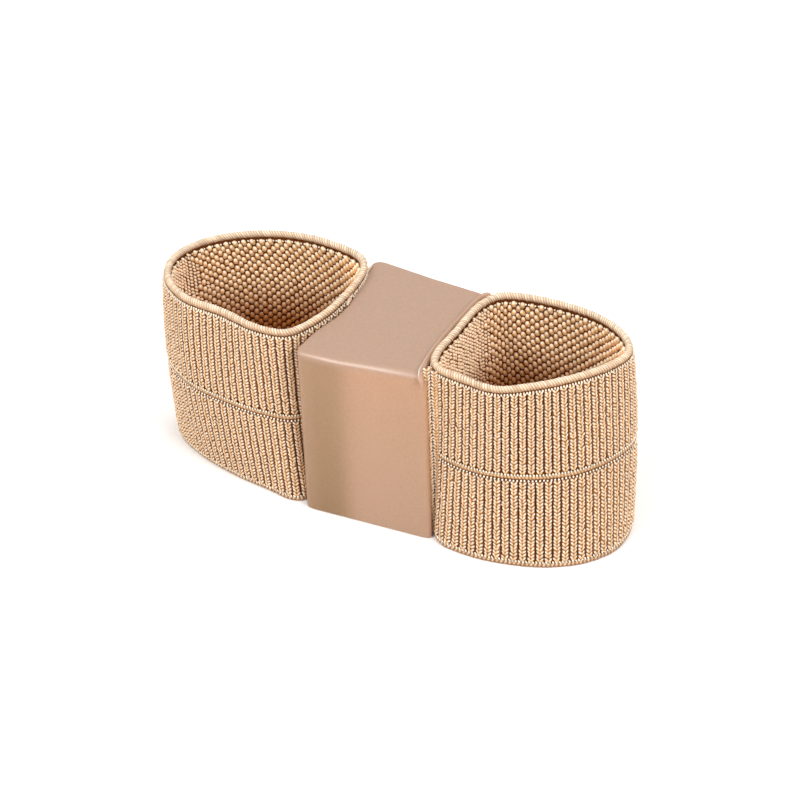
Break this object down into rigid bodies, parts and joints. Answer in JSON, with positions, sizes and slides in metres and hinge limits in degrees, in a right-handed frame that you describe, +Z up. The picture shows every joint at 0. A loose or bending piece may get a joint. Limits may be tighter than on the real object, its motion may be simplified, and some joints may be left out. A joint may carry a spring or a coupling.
{
  "type": "bunion corrector",
  "caption": "Toe-straightening splint: ribbed elastic toe loops with rolled rims, bonded to the flanks of a soft silicone spacer block that keeps the toes apart.",
  "frame": {"origin": "centre of the silicone block's underside, on the plane that the block and both hems stand on", "axes": "+X along the length towards the right-hand loop, +Y towards the back, +Z up through the toe loops"},
  "size_m": [0.0885, 0.0327, 0.035],
  "materials": {
    "silicone": "satin",
    "bonding_silicone": "gloss",
    "ribbed_elastic": "knitted",
    "edge_thread": "wrapped thread"
  },
  "bodies": {
    "root": {"gel_block": "silicone", "bond_bead": "bonding_silicone", "left_rim_cord": "edge_thread", "left_upper_band": "ribbed_elastic", "left_waist_cord": "edge_thread", "left_lower_band": "ribbed_elastic", "left_hem_cord": "edge_thread", "right_rim_cord": "edge_thread", "right_upper_band": "ribbed_elastic", "right_waist_cord": "edge_thread", "right_lower_band": "ribbed_elastic", "right_hem_cord": "edge_thread"}
  },
  "joints": []
}
